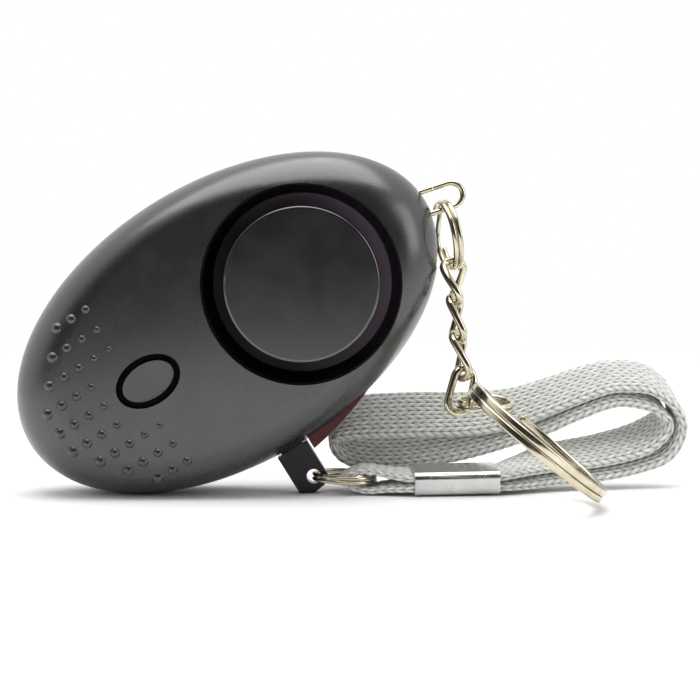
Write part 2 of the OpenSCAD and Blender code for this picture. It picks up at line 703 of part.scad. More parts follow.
module pull_pin() color([0.13, 0.11, 0.14]) on_body() {
  u0 = pin_u - tab_w / 2 - 0.0;
  u1 = u0 + tab_w;
  top = pin_top;
  difference() {
    translate([0, 0, -tab_t / 2]) linear_extrude(tab_t)
      polygon([[u0, top], [u1, top], [u1, -35.2], [u1 - 1.6, -36.6], [u1 - 4, -36.9], [u0, -35.4]]);
    translate([pin_hole[0], pin_hole[1], -tab_t]) cylinder(d = tab_hole_d, h = 2 * tab_t);
  }
  translate([pin_u - blade_w / 2, 0, 0]) rotate([90, 0, 90]) linear_extrude(blade_w)
    polygon([[top - 1, -0.9], [top - 1, 1.1], [top, 1.1], [top + blade_l, -0.3], [top + blade_l, -0.9]]);
}

module bail() color([0.8, 0.78, 0.72]) row() aim(bail_mid, [0, -1, 0], bail_dir) {
  outer = bail_out - bail_wire / 2 - bail_w / 2;
  difference() {
    union() {
      for (s = [-1, 1]) translate([-bail_in, s * bail_w / 2, 0]) rotate([0, 90, 0]) cylinder(d = bail_wire, h = outer + bail_in, $fn = 32);
      translate([outer, 0, 0]) rotate([0, 0, -90]) rotate_extrude(angle = 180) translate([bail_w / 2, 0]) circle(d = bail_wire, $fn = 32);
      translate([-bail_in, 0, 0]) rotate([0, 0, 90]) rotate_extrude(angle = 180) translate([bail_w / 2, 0]) circle(d = bail_wire, $fn = 32);
    }
    translate([1.9, bail_w / 2 - 1, -1]) cube([0.15, 2, 2]);
  }
}

module ring_top() color([0.8, 0.78, 0.72]) row() aim(ring_top_mid, ring_top_face, [0, 1, 0])
  split_ring(ring_top_r, ring_pitch, round_sec(ring_wire), 10);

// One chain link: wire along an oval whose plane turns from one angle to another along its length
function link_at(t, top, dir, near, turn) =
  let (w = link_w - link_wire,
       a = t * 360,
       x = (1 + sin(a)) * w / 2 + (sin(a) > eps ? link_c - w : 0),
       k = mix(turn[0], turn[1], x / link_c))
  top + dir * x + (near * cos(k) + cross(dir, near) * sin(k)) * cos(a) * w / 2;
module link(from, dir, turn, above, slot) color([0.8, 0.78, 0.72]) row() {
  top = from - dir * (link_wire / 2 + above / 2 + slot);
  near = unit([0, -1, 0] + dir * dir[1]);
  middle = top + dir * link_c / 2;
  n = 42;
  rings = [for (i = [0:n - 1])
    let (p = link_at((i + 0.5) / n, top, dir, near, turn),
         t = unit(link_at((i + 1.5) / n, top, dir, near, turn) - link_at((i - 0.5) / n, top, dir, near, turn)),
         e = unit(cross(t, cross(p - middle, t))))
    ring_pts(p, e, cross(t, e), round_sec(link_wire))];
  sweep(rings, closed = true);
}
module link_1() link(hang_1, dir_1, [94, -45], ring_wire, first_slot);
module link_2() link(hang_2, dir_2, [45, -45], link_wire, ring_slot);
module link_3() link(hang_3, dir_3, [45, -45], link_wire, ring_slot);
module link_4() link(hang_4, dir_4, [60, 90], link_wire, last_slot);

module ring_low() color([0.8, 0.78, 0.72]) row() aim(ring_low_mid, ring_low_face, [1, 0, 0])
  split_ring(ring_low_r, ring_pitch, round_sec(ring_wire), 250);

module key_ring() color([0.8, 0.78, 0.72]) row() aim(key_mid, key_face, key_along) {
  w = key_wire_w / 2;
  t = key_wire_t / 2;
  c = 0.3;
  sec = [[w, -t + c], [w, t - c], [w - c, t], [-w + c, t], [-w, t - c], [-w, -t + c], [-w + c, -t], [w - c, -t]];
  split_ring(key_r, key_wire_t + 0.08, sec, key_hang + 10, 96);
}

module pin_ring() color([0.8, 0.78, 0.72]) row() aim(pin_ring_mid, [0.045, 0, 1], [1, 0, 0])
  split_ring(pin_ring_r, pin_ring_pitch, round_sec(pin_ring_wire), 60);

module wrist_strap() color([0.78, 0.79, 0.775]) row() {
  path = smooth_route(strap_route, strap_steps);
  n = len(path);
  rings = [for (i = [0:n - 1])
    let (p = path[i],
         t = unit(xyz(path[min(i + 1, n - 1)]) - xyz(path[max(i - 1, 0)])),
         g0 = [-0.22 * clamp01((p[0] - 28) / 38), cos(p[3]), sin(p[3])],
         g = unit(g0 - t * (g0 * t) * 0.6),
         f = unit(cross(t, g)),
         h = p[4] / 2,
         w = p[5] / 2)
    ring_pts(xyz(p), g, f, [[w, -h / 2], [w, h / 2], [w - h / 1.5, h], [-w + h / 1.5, h],
      [-w, h / 2], [-w, -h / 2], [-w + h / 1.5, -h], [w - h / 1.5, -h]])];
  sweep(rings);
}

module strap_ferrule() color([0.82, 0.83, 0.84]) row() {
  p0 = [36, -1.5, 2.75];
  p1 = [52, 0, 2.88];
  dir = unit(p1 - p0);
  h = 2 * 1.85 + 0.05;
  aim((p0 + p1) / 2 - dir * ferrule_l / 2, dir, [0, cos(4), sin(4)]) difference() {
    linear_extrude(ferrule_l) flat_tube(strap_w + 0.06 + 2 * ferrule_wall, h + 2 * ferrule_wall, 1.4);
    translate([0, 0, -1]) linear_extrude(ferrule_l + 2) flat_tube(strap_w + 0.06, h, 1);
  }
}
module flat_tube(w, h, r) {
  square([w, h - 2 * r], center = true);
  square([w - 2 * r, h], center = true);
  for (x = [-1, 1]) for (y = [-1, 1]) translate([x * (w / 2 - r), y * (h / 2 - r)]) circle(r = r, $fn = 32);
}

front_shell();
rear_shell();
battery_door();
door_screw();
case_screws();
siren_cup();
siren_disc();
piezo_disc();
piezo_clamp();
torch_button();
tact_switch();
switch_plunger();
circuit_board();
board_screws();
driver_chip();
boost_core();
boost_winding();
capacitor();
strobe_lens();
strobe_lamp();
torch_lens();
torch_lamp();
cell_a();
cell_b();
cell_springs();
cell_bridge();
cell_plates();
contact_block();
fixed_contact();
moving_contact();
pull_pin();
bail();
ring_top();
link_1();
link_2();
link_3();
link_4();
ring_low();
key_ring();
pin_ring();
wrist_strap();
strap_ferrule();
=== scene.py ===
# Personal safety alarm: the looks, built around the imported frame
import math

import bpy
import numpy as np
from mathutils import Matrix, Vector


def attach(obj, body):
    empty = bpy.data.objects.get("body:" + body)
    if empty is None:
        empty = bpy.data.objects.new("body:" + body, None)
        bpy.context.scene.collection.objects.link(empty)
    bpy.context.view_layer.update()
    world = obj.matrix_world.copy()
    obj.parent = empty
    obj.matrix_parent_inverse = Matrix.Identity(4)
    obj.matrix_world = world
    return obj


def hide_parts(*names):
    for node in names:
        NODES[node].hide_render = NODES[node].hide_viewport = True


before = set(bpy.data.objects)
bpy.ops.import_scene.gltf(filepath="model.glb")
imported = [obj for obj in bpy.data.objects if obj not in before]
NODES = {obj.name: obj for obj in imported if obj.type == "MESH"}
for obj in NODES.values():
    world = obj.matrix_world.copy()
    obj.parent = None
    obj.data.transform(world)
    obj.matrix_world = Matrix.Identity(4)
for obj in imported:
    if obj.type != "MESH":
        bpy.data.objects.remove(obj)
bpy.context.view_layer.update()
SCENE = bpy.context.scene
SCENE.view_settings.view_transform = "Standard"
MM = 0.001
# The part's origin in the millimetre frame that the routes are written in
ORIGIN = Vector((15.42, -11.82, 0.0))


def at(p):
    """A point of the routes' frame, in metres in the part's frame."""
    return (Vector(p) - ORIGIN) * MM


# Camera at the photograph's viewing angle

CAMERA_PLACE = (23.759, -448.288, 67.110)
CAMERA_PITCH = math.radians(85)
CAMERA_LENS = 119.3
CAMERA_SENSOR = 36.0
CLIP_START = 0.01

camera = bpy.data.objects.new("camera", bpy.data.cameras.new("camera"))
SCENE.collection.objects.link(camera)
camera.data.sensor_width = CAMERA_SENSOR
camera.data.lens = CAMERA_LENS
camera.data.clip_start = CLIP_START
camera.location = at(CAMERA_PLACE)
camera.rotation_euler = (CAMERA_PITCH, 0, 0)
SCENE.camera = camera


# Meshes


def add_mesh(name, verts, faces):
    mesh = bpy.data.meshes.new(name)
    mesh.from_pydata([tuple(v) for v in verts], [], faces)
    mesh.polygons.foreach_set("use_smooth", [True] * len(mesh.polygons))
    mesh.update()
    obj = bpy.data.objects.new(name, mesh)
    SCENE.collection.objects.link(obj)
    return obj


def sweep(name, rings, closed=False):
    """A tube through rings of points, given in metres."""
    k = len(rings[0])
    n = len(rings)
    verts = [p for ring in rings for p in ring]
    faces = []
    for i in range(n if closed else n - 1):
        a, b = i * k, (i + 1) % n * k
        for j in range(k):
            faces.append((a + j, a + (j + 1) % k, b + (j + 1) % k, b + j))
    if not closed:
        faces.append(tuple(range(k - 1, -1, -1)))
        faces.append(tuple(range((n - 1) * k, n * k)))
    return add_mesh(name, verts, faces)


# Braided strap

# Route of the strap's middle line: x, y, z, lean of the band in degrees, thickness, width
STRAP_ROUTE = [
    [44, -0.8, 3.75, 4, 1.85, 10], [36, -1.5, 3.7, 4, 1.85, 10], [31.5, -1.2, 4.1, 2, 1.6, 9],
    [26.5, -0.8, 4.8, 0, 1.6, 8.4], [22.4, -0.6, 2.9, 0, 1.6, 8.4], [26.5, -0.8, 1, 0, 1.6, 8.4],
    [31.5, -1.2, 1.45, 2, 1.6, 9], [36, -1.5, 1.8, 4, 1.85, 10], [44, -0.8, 1.85, 4, 1.85, 10],
    [52, 0, 1.9, 5, 1.85, 10], [58, 2.8, 2.4, 12, 2.2, 10], [64, 5.2, 3.5, 22, 2.2, 10],
    [73, 7, 4.5, 28, 2.2, 10], [80, 8.4, 5.9, 30, 2.2, 10], [85.6, 8.9, 8.2, 31, 2.2, 10],
    [88.4, 9.4, 12.8, 22, 2.2, 10], [87.2, 9.4, 17.7, 31, 2.2, 10], [83, 9.4, 21.1, 31, 2.2, 10],
    [78, 9.4, 21.9, 31, 2.2, 10], [72.5, 9.4, 21.2, 31, 2.2, 10], [61, 8.7, 17.2, 38, 2.2, 10],
    [54.8, 8.4, 15.4, 46, 2.2, 10], [46.8, 8.1, 14.5, 54, 2.2, 10], [35, 8.1, 14.3, 57, 2.2, 10],
    [24, 8.1, 13.6, 50, 2.2, 10], [20.5, 9, 10.9, 28, 2.2, 10], [24, 9.4, 8.1, 46, 2.2, 10],
    [33, 9, 7.6, 50, 2.2, 10], [46.2, 8.8, 9.5, 46, 2.2, 10], [60.8, 8.8, 13.5, 34, 2.2, 10],
    [67, 8.8, 16.1, 32, 2.2, 10], [75.5, 9.4, 18.9, 31, 2.2, 10], [82.2, 9.4, 17.9, 31, 2.2, 10],
    [85.7, 9.4, 13.7, 20, 2.2, 10], [81.8, 8.6, 9.8, 30, 2.2, 10], [73, 7, 7.4, 28, 2.2, 10],
    [63.5, 5, 6.2, 22, 2.2, 10], [57.5, 2.6, 4.9, 11, 2.1, 10], [52, 0, 3.85, 5, 1.85, 10],
    [45, -0.7, 3.75, 4, 1.85, 10],
]
ROUTE_STEPS = 24  # spline points from one point of the route to the next
BAND_YAW = 0.22  # how far the band's width turns to the left, as a slope
BAND_YAW_X = 28  # mm along x where that turn begins
BAND_YAW_OVER = 38  # mm along x over which it grows
BAND_SQUARE = 0.6  # share of the width's slant along the route that is taken out
BRAID_STEP = 0.2  # mm between sections
TANGENT_REACH = 2  # sections to either side that give a section's direction
PATH_STRIDE = 4  # sections between two points of the cord's path
BRAID_ROUND = 132  # points round a section
BRAID_BANDS = 22  # bands of yarn round the tube
BRAID_PITCH = 1.8  # mm between yarns along the strap
BRAID_RISE = 0.26  # mm that a yarn rises and dives
YARN_CROWN = 0.28  # mm that a yarn's back stands above its edges
YARN_ROUND = 0.96  # share of a half circle that a yarn's back follows
SECTION_POWER = 3.4  # squareness of the flattened tube: 2 is an ellipse
SECTION_ASPECT = 0.22  # thickness over width, for even spacing round the edge
SECTION_FINE = 4001  # points that the spacing is worked out on
GROOVE_TONE = 0.4  # share of the braid's painted light and shade that doesn't grow with the height
GOLDEN = 0.6180339  # step between the tones of neighbouring yarns


def spline_route(points, steps):
    """A smooth curve through the points, with all their values."""
    p = np.array(points, float)
    n = len(p)
    out = []
    for i in range(n - 1):
        a, b, c, d = p[max(i - 1, 0)], p[i], p[i + 1], p[min(i + 2, n - 1)]
        for k in range(steps):
            t = k / steps
            out.append(0.5 * (2 * b + (c - a) * t + (2 * a - 5 * b + 4 * c - d) * t**2
                              + (3 * b - a - 3 * c + d) * t**3))
    out.append(p[-1])
    return np.array(out)


def rows_unit(v):
    return v / np.linalg.norm(v, axis=1, keepdims=True)


def even(points, step):
    """The same route at even steps along its length."""
    s = np.concatenate([[0], np.cumsum(np.linalg.norm(np.diff(points[:, :3], axis=0), axis=1))])
    want = np.linspace(0, s[-1], int(round(s[-1] / step)) + 1)
    return np.stack([np.interp(want, s, points[:, j]) for j in range(points.shape[1])], axis=1), want


def strap_section():
    """Flattened tube section: points and outward normals, even round its edge."""
    a = np.linspace(0, 2 * math.pi, SECTION_FINE)
    x = np.sign(np.cos(a)) * np.abs(np.cos(a)) ** (2 / SECTION_POWER)
    y = np.sign(np.sin(a)) * np.abs(np.sin(a)) ** (2 / SECTION_POWER)
    s = np.concatenate([[0], np.cumsum(np.hypot(np.diff(x), np.diff(y) * SECTION_ASPECT))])
    want = np.linspace(0, s[-1], BRAID_ROUND, endpoint=False)
    x, y = np.interp(want, s, x), np.interp(want, s, y)
    dx, dy = np.roll(x, -1) - np.roll(x, 1), (np.roll(y, -1) - np.roll(y, 1)) * SECTION_ASPECT
    size = np.hypot(dx, dy)
    return x, y, dy / size, -dx / size


def braid_height(s, c):
    """A two-over, two-under tubular braid, s in mm along it and c in bands round it.

    Gives the height, the number of the yarn on top and how open the place is:
    0 in a groove, 1 on a yarn's back.
    """
    a = s / BRAID_PITCH + c
    b = s / BRAID_PITCH - c
    wave = BRAID_RISE * np.sin(math.pi * c)

    def off_middle(x):
        return np.abs(x - np.floor(x) - 0.5) * 2

    def crown(x):
        return YARN_CROWN * np.sqrt(np.clip(1 - x * x * YARN_ROUND, 0, None))

    xa, xb = off_middle(a), off_middle(b)
    ha, hb = wave + crown(xa), -wave + crown(xb)
    over = ha > hb
    yarn = np.where(over, np.floor(a) % BRAID_BANDS, np.floor(b) % BRAID_BANDS + BRAID_BANDS)
    open_ = np.minimum(1 - np.where(over, xa, xb), np.abs(ha - hb) / (2 * YARN_CROWN))
    return np.maximum(ha, hb), yarn, np.clip(open_, 0, 1)


def make_strap():
    """The strap's piece, the points of its middle line and its length, in metres."""
    path, s = even(spline_route(STRAP_ROUTE, ROUTE_STEPS), BRAID_STEP)
    n = len(path)
    xyz = path[:, :3]
    lean, thick, wide = np.radians(path[:, 3]), path[:, 4, None], path[:, 5, None]
    i = np.arange(n)
    t = rows_unit(xyz[np.minimum(i + TANGENT_REACH, n - 1)] - xyz[np.maximum(i - TANGENT_REACH, 0)])
    yaw = -BAND_YAW * np.clip((xyz[:, 0] - BAND_YAW_X) / BAND_YAW_OVER, 0, 1)
    g0 = np.stack([yaw, np.cos(lean), np.sin(lean)], axis=1)
    g = rows_unit(g0 - BAND_SQUARE * np.sum(g0 * t, axis=1, keepdims=True) * t)
    f = rows_unit(np.cross(t, g))
    x, y, nx, ny = strap_section()
    c = np.arange(BRAID_ROUND) / BRAID_ROUND * BRAID_BANDS
    h, yarn, open_ = braid_height(s[:, None], c[None, :])
    top = BRAID_RISE + YARN_CROWN
    across = (wide / 2 - top) * x + nx * h
    through = (thick / 2 - top) * y + ny * h
    pts = xyz[:, None, :] + g[:, None, :] * across[:, :, None] + f[:, None, :] * through[:, :, None]
    pts = (pts - np.array(ORIGIN)) * MM
    piece = sweep("strap_braid", pts.tolist())
    # Painted shade in the grooves and painted light that grows with the height, for the material
    braid_shade = open_ * (GROOVE_TONE + (1 - GROOVE_TONE) * h / top)
    for name, values in (("braid", braid_shade), ("yarn", (yarn * GOLDEN) % 1.0)):
        data = piece.data.attributes.new(name, "FLOAT", "POINT").data
        data.foreach_set("value", values.ravel().astype(np.float32))
    line = (xyz - np.array(ORIGIN)) * MM
    return piece, line[:-1:PATH_STRIDE].tolist() + [line[-1].tolist()], s[-1] * MM


strap, strap_line, strap_length = make_strap()
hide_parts("wrist_strap")
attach(strap, "strap")


# Chain and rings, in mm and degrees as in the part's source

TILT = math.radians(31.9)  # of the housing's long axis
CENTRE_Z = 33.147  # height of the housing's middle
HALF_L = 45.0
HALF_W = 27.2
BAIL_V = -0.6
BAIL_W = 4.6
BAIL_WIRE = 1.1
BAIL_TURN = math.radians(-13.9)  # from the housing's long axis
BAIL_REACH = 2.7  # from the rim to where the upper ring hangs
SLOT = 0.2  # play where two wires hang in each other
FIRST_SLOT = 0.55
LAST_SLOT = 0.4
RING_TOP_SLOT = 1.8 * SLOT
RING_LOW_PLAY = 0.3
RING_WIRE = 1.0
RING_PITCH = RING_WIRE + 0.06
RING_TOP_R = (14 - RING_WIRE) / 2
RING_TOP_DOWN = Vector((0.17, 0, -0.985))
RING_TOP_AXIS = (0.955, 0.24, 0.165)
RING_LOW_R = (11.3 - RING_WIRE) / 2
RING_LOW_ALONG = Vector((1, -0.09, -0.06)).normalized()
RING_LOW_AXIS = (0.063, -0.1, 1)
LINK_WIRE = 1.5
LINK_W = 5.8
LINK_C = 10.4 - LINK_WIRE  # length of a link at the middle of its wire
LINK_STEPS = 120
LINK_LEANS = (2, 5, 9, -14)  # of each link to the right of straight down
CHAIN_FORWARD = 15  # lean of all links towards the viewer
KEY_BAND_W = 2.0
KEY_BAND_T = 1.35
KEY_BAND_CORNER = 0.34
KEY_PITCH = KEY_BAND_T + 0.08
KEY_R = (32 - KEY_BAND_W) / 2
KEY_STEPS = 360
KEY_AXIS = (0.637, -0.01, 0.771)
KEY_ALONG = Vector((0.77, 0, -0.638))
KEY_HANG = math.radians(126)  # where round the key ring the lower ring holds it
KEY_SHIFT = (2.2, -0.3)  # x and y of that place, from the lower ring's middle
PIN_WIRE = 0.8
PIN_PITCH = PIN_WIRE + 0.05
PIN_RING_R = (12.8 - PIN_WIRE) / 2
PIN_RING_ALONG = Vector((1, 0, -0.045)).normalized()
PIN_RING_AXIS = (0.045, 0, 1)
PIN_HOLE = (-1.5, -34.1)  # u and v on the housing
WIRE_POINTS = 18  # round a wire
CORNER_STEPS = 5  # round a corner of the key ring's band
RING_STEPS = 260
RING_START = 32  # degrees at which a split ring's wire begins
RING_SWEEP = 656  # degrees that it goes round
CROSS_START = 328  # degrees at which it crosses to the other turn
CROSS_SWEEP = 64
END_EASE = (0.72, 0.9, 0.97)  # share of the section's size at the cut ends


def aim(p, k, x):
    """Maps local coordinates so that Z follows k and X the part of x square to k."""
    z = Vector(k).normalized()
    a = (Vector(x) - z * Vector(x).dot(z)).normalized()
    b = z.cross(a)
    p = Vector(p)
    return lambda v: p + a * v[0] + b * v[1] + z * v[2]


def round_section(d):
    turns = [2 * math.pi * j / WIRE_POINTS for j in range(WIRE_POINTS)]
    return [(math.cos(a) * d / 2, math.sin(a) * d / 2) for a in turns]


def soft_rectangle(w, t, r):
    out = []
    for cx, cy, a0 in ((w / 2 - r, t / 2 - r, 0), (r - w / 2, t / 2 - r, 90),
                       (r - w / 2, r - t / 2, 180), (w / 2 - r, r - t / 2, 270)):
        for j in range(CORNER_STEPS + 1):
            a = math.radians(a0 + 90 * j / CORNER_STEPS)
            out.append((cx + r * math.cos(a), cy + r * math.sin(a)))
    return out


def split_ring(name, place, r, pitch, section, turn, steps=RING_STEPS):
    """Two turns of wire, pitch apart along the axis, crossing over in between."""
    rings = []
    for i in range(steps + 1):
        a = RING_START + RING_SWEEP * i / steps
        c = min(1.0, max(0.0, (a - CROSS_START) / CROSS_SWEEP))
        h = pitch * (c * c * (3 - 2 * c) - 0.5)
        e = Vector((math.cos(math.radians(a + turn)), math.sin(math.radians(a + turn)), 0))
        end = min(i, steps - i)
        k = END_EASE[end] if end < len(END_EASE) else 1.0
        rings.append([at(place(e * (r + u * k) + Vector((0, 0, h + w * k)))) for u, w in section])
    return sweep(name, rings)


def chain_dir(right, front):
    right, front = math.radians(right), math.radians(front)
    return Vector((math.sin(right) * math.cos(front), -math.sin(front), -math.cos(right) * math.cos(front)))


def twisted_link(name, hang, direction, turn, above, slot):
    """One link: wire along an oval whose plane turns from one angle to another along its length."""
    top = hang - direction * (LINK_WIRE / 2 + above / 2 + slot)
    near = (Vector((0, -1, 0)) + direction * direction.y).normalized()
    other = direction.cross(near)
    w = LINK_W - LINK_WIRE
    straight = LINK_C - w
    arc, total = math.pi * w / 2, 2 * (math.pi * w / 2 + straight)

    def point(t):
        # Once round the oval: the far arc, up one side, the near arc, down the other
        d = t % 1.0 * total
        if d < arc:
            a = d / arc * math.pi
            x, y = LINK_C - w / 2 + math.sin(a) * w / 2, math.cos(a)
        elif d < arc + straight:
            x, y = LINK_C - w / 2 - (d - arc), -1.0
        elif d < 2 * arc + straight:
            a = (d - arc - straight) / arc * math.pi
            x, y = w / 2 - math.sin(a) * w / 2, -math.cos(a)
        else:
            x, y = w / 2 + d - 2 * arc - straight, 1.0
        k = math.radians(turn[0] + (turn[1] - turn[0]) * x / LINK_C)
        return top + direction * x + (near * math.cos(k) + other * math.sin(k)) * y * w / 2

    middle = top + direction * LINK_C / 2
    rings = []
    for i in range(LINK_STEPS):
        p = point(i / LINK_STEPS)
        t = (point((i + 1) / LINK_STEPS) - point((i - 1) / LINK_STEPS)).normalized()
        e = t.cross((p - middle).cross(t)).normalized()
        n = t.cross(e)
        rings.append([at(p + e * u + n * v) for u, v in round_section(LINK_WIRE)])
    return sweep(name, rings, closed=True)


def body_pt(u, v, w):
    """A point of the housing: u along it, v across it and w towards the viewer."""
    return Vector((u * math.cos(TILT) - v * math.sin(TILT), -w,
                   CENTRE_Z + u * math.sin(TILT) + v * math.cos(TILT)))


bail_dir = Vector((math.cos(TILT + BAIL_TURN), 0, math.sin(TILT + BAIL_TURN)))
bail_side = Vector((-bail_dir.z, 0, bail_dir.x))
bail_u = HALF_L * math.sqrt(1 - (BAIL_V / HALF_W) ** 2)
bail_hang = body_pt(bail_u, BAIL_V, 0) + bail_dir * BAIL_REACH - bail_side * BAIL_W / 2
ring_top_mid = bail_hang + RING_TOP_DOWN * (RING_TOP_R - BAIL_WIRE / 2 - RING_WIRE / 2 - RING_TOP_SLOT)
dirs = [chain_dir(lean, CHAIN_FORWARD) for lean in LINK_LEANS]
hangs = [ring_top_mid + RING_TOP_DOWN * RING_TOP_R]
hangs.append(hangs[0] + dirs[0] * (LINK_C - LINK_WIRE / 2 - RING_WIRE / 2 - FIRST_SLOT))
for d in dirs[1:3]:
    hangs.append(hangs[-1] + d * (LINK_C - LINK_WIRE - SLOT))
ring_low_drop = LINK_C - 1.5 * LINK_WIRE - LAST_SLOT - (RING_PITCH + RING_WIRE) / 2 - RING_LOW_PLAY
ring_low_mid = hangs[3] + dirs[3] * ring_low_drop + RING_LOW_ALONG * RING_LOW_R
key_off = Vector((KEY_SHIFT[0], KEY_SHIFT[1] - KEY_R * math.sin(KEY_HANG), 0))
key_mid = ring_low_mid + key_off - KEY_ALONG * KEY_R * math.cos(KEY_HANG)
pin_ring_mid = body_pt(*PIN_HOLE, 0) + PIN_RING_ALONG * PIN_RING_R

ring_wire = round_section(RING_WIRE)
key_band = soft_rectangle(KEY_BAND_W, KEY_BAND_T, KEY_BAND_CORNER)
chain = {
    "ring_top": split_ring("ring_top_wire", aim(ring_top_mid, RING_TOP_AXIS, (0, 1, 0)),
                           RING_TOP_R, RING_PITCH, ring_wire, turn=10),
    "link_1": twisted_link("link_1_wire", hangs[0], dirs[0], (94, -45), RING_WIRE, FIRST_SLOT),
    "link_2": twisted_link("link_2_wire", hangs[1], dirs[1], (45, -45), LINK_WIRE, SLOT),
    "link_3": twisted_link("link_3_wire", hangs[2], dirs[2], (45, -45), LINK_WIRE, SLOT),
    "link_4": twisted_link("link_4_wire", hangs[3], dirs[3], (60, 90), LINK_WIRE, LAST_SLOT),
    "ring_low": split_ring("ring_low_wire", aim(ring_low_mid, RING_LOW_AXIS, (1, 0, 0)),
                           RING_LOW_R, RING_PITCH, ring_wire, turn=250),
    "key_ring": split_ring("key_ring_band", aim(key_mid, KEY_AXIS, KEY_ALONG),
                           KEY_R, KEY_PITCH, key_band, turn=136, steps=KEY_STEPS),
    "pin_ring": split_ring("pin_ring_wire", aim(pin_ring_mid, PIN_RING_AXIS, (1, 0, 0)),
                           PIN_RING_R, PIN_PITCH, round_section(PIN_WIRE), turn=60),
}
for body, piece in chain.items():
    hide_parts(body)
    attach(piece, body)


# Materials

SIREN_U = 16.7  # the siren's middle on the housing
SIREN_V = -0.8
CUP_FLOOR_W = (4.9, 4.5)  # mm from the middle plane between which the cup's wall turns into its floor
CUP_LIT_SIDE = (0.9, 0.0, 0.43)  # direction of the side of the cup's floor that the light reaches, where the painted light goes
CUP_LIT_SPAN = (-8, 14)  # mm along it, from the siren's middle, over which the painted light on the floor brightens
BUTTON_SHADE_W = (11.3, 10.9)  # mm from the middle plane between which painted shade darkens the button's recess
DOT_TOP_W = (12.505, 12.54)  # mm from the middle plane between which painted shade darkens the grip dots' tops: the face lies at 12.5
DOT_ROUGH = 0.10
FACE_DRIFT = 7  # steps of 255 between the dark and the light places of a recessed piece's face
DEEP_DRIFT = 3  # and in the painted shade down in its recess
# Noise: scale, detail and, where it isn't the usual one, roughness
CLOUD = (55, 4)
RECESS_CLOUD = (70, 4)
GLOSS = (160, 5)
GRAIN = (5200, 2, 0.6)
METAL_TONE = (220, 4)
METAL_GLOSS = (700, 4)
SCRATCH_DETAIL = (3, 0.6)
FIBRE = (5200, 3, 0.6)
BOARD_GLOSS = (500,)
WRAP_GLOSS = (900,)
# Heights of bumps, in metres
GRAIN_DEPTH = 0.00006
SCRATCH_DEPTH = 0.00004
FIBRE_DEPTH = 0.00010
WRAP_DEPTH = 0.0001
COPPER_DEPTH = 0.00005
# A Mix node's sockets for numbers and for colours: factor, A, B and result
MIX_SOCKETS = {"FLOAT": (0, 2, 3, 0), "RGBA": (0, 6, 7, 2)}
# Painted shade and light of the braid: dark in the grooves, light on the yarns' backs
BRAID_SHADE_TONES = [(0.0, (98, 99, 97)), (0.10, (168, 169, 166)), (0.26, (214, 215, 212)), (0.7, (228, 229, 226))]


def linear(rgb):
    """A colour in steps of 0 to 255 as the linear values of a socket."""
    values = [v / 255 for v in rgb]
    return tuple(c / 12.92 if c <= 0.04045 else ((c + 0.055) / 1.055) ** 2.4 for c in values) + (1.0,)


def lighter(rgb, by):
    return tuple(v + by for v in rgb)


def mix(tree, fac, a, b, data_type="FLOAT", blend_type="MIX"):
    """From a to b as fac goes from 0 to 1; each is a number or a node's output."""
    m = tree.nodes.new("ShaderNodeMix")
    m.data_type, m.blend_type = data_type, blend_type
    *inputs, result = MIX_SOCKETS[data_type]
    for index, value in zip(inputs, (fac, a, b)):
        if isinstance(value, float):
            m.inputs[index].default_value = value
        else:
            tree.links.new(value, m.inputs[index])
    return m.outputs[result]


